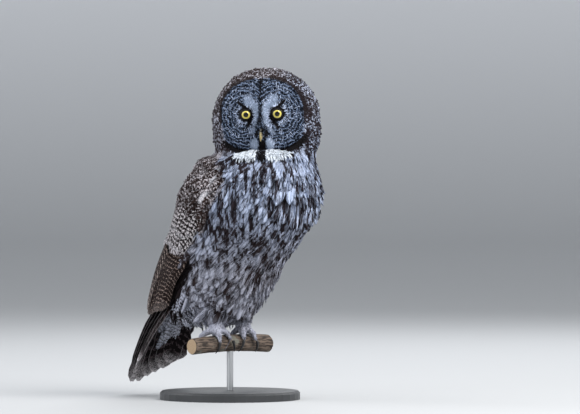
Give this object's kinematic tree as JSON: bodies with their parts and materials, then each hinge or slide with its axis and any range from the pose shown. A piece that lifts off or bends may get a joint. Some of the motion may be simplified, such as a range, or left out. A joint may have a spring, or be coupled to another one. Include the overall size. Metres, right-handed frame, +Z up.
{
  "type": "great grey owl",
  "caption": "Still, life-size great grey owl on a cut branch, held by a round base and a short rod, with its head turned to its right.",
  "frame": {"origin": "centre of the underside of the stand's base", "axes": "+Z up; the bird's body faces -Y and its right side is -X"},
  "size_m": [0.2749, 0.4504, 0.6136],
  "materials": {
    "feather_head": "matte",
    "feather_neck": "matte",
    "feather_breast": "matte",
    "feather_wing": "matte",
    "feather_tail": "matte",
    "feather_leg": "matte",
    "eye": "gloss",
    "bill": "satin",
    "claw": "satin",
    "bark": "matte",
    "base_paint": "satin",
    "rod_steel": "satin"
  },
  "bodies": {
    "root": {"head": "feather_head", "neck": "feather_neck", "torso": "feather_breast", "wing_left": "feather_wing", "wing_right": "feather_wing", "tail": "feather_tail", "leg_left": "feather_leg", "leg_right": "feather_leg", "foot_left": "feather_leg", "foot_right": "feather_leg", "claw_left_1": "claw", "claw_left_2": "claw", "claw_left_3": "claw", "claw_left_4": "claw", "claw_right_1": "claw", "claw_right_2": "claw", "claw_right_3": "claw", "claw_right_4": "claw", "eye_left": "eye", "eye_right": "eye", "bill_upper": "bill", "bill_lower": "bill", "perch": "bark", "stand_base": "base_paint", "stand_rod": "rod_steel"}
  },
  "joints": []
}
